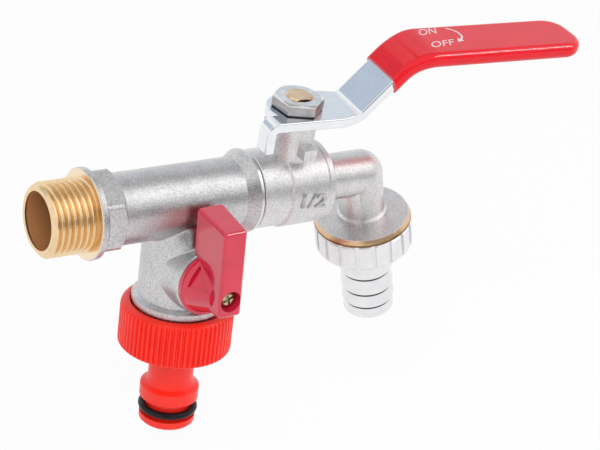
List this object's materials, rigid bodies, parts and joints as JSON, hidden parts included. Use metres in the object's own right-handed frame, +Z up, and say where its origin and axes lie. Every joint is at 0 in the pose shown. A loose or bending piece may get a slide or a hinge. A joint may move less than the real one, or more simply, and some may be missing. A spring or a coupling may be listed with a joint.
{
  "type": "bib tap",
  "caption": "Twin-outlet ball bib tap: threaded inlet, lever-worked spout with a barbed hose tail, and a side branch with a flag handle and a quick-fit hose plug.",
  "frame": {"origin": "on the main axis, at the shoulder face that the inlet thread runs up to", "axes": "+X along the main axis away from the wall, +Z up along the main valve stem, -Y towards the side handle"},
  "size_m": [0.1681, 0.0438, 0.1148],
  "materials": {
    "nickel_plated_brass": "satin nickel plate over a cast skin, bare brass on the inlet thread",
    "bare_brass": "turned bare brass",
    "bright_nickel": "polished nickel plate on turned brass",
    "chromed_ball": "polished hard chrome on brass",
    "nickel_nut": "nickel plated",
    "zinc_plated_steel": "bright zinc plate",
    "yellow_zinc": "yellow passivated zinc",
    "red_sleeve": "smooth dipped vinyl, glossy",
    "red_paint": "glossy paint",
    "red_plastic": "moulded, half gloss",
    "white_ptfe": "smooth",
    "black_rubber": "smooth"
  },
  "bodies": {
    "tap_body": {"inlet_body": "nickel_plated_brass", "spout_body": "nickel_plated_brass", "body_joint_seal": "black_rubber", "main_seat_inlet": "white_ptfe", "main_seat_outlet": "white_ptfe", "side_seat_upper": "white_ptfe", "side_seat_lower": "white_ptfe", "side_seat_retainer": "bare_brass", "tap_connector": "red_plastic", "connector_washer": "black_rubber", "connector_ring": "black_rubber", "union_nut": "bright_nickel", "union_washer": "black_rubber", "hose_tail": "bright_nickel"},
    "lever_set": {"main_lever": "zinc_plated_steel", "lever_sleeve": "red_sleeve", "lever_nut": "nickel_nut", "main_stem": "bare_brass", "main_ball": "chromed_ball", "main_thrust_washer": "white_ptfe", "main_stem_ring_lower": "black_rubber", "main_stem_ring_upper": "black_rubber"},
    "side_handle_set": {"side_handle": "red_paint", "side_handle_screw": "yellow_zinc", "side_stem": "bare_brass", "side_ball": "chromed_ball", "side_thrust_washer": "white_ptfe", "side_stem_ring": "black_rubber"}
  },
  "joints": [
    {"name": "main_lever_turn", "type": "hinge", "parent": "tap_body", "child": "lever_set", "pos_m": [0.0646, 0, 0], "axis": [0, 0, 1], "range_deg": [-86, 4]},
    {"name": "side_handle_turn", "type": "hinge", "parent": "tap_body", "child": "side_handle_set", "pos_m": [0.0334, -0.00175, -0.01922], "axis": [0, -0.9959, 0.0906], "range_deg": [-90, 0]}
  ]
}
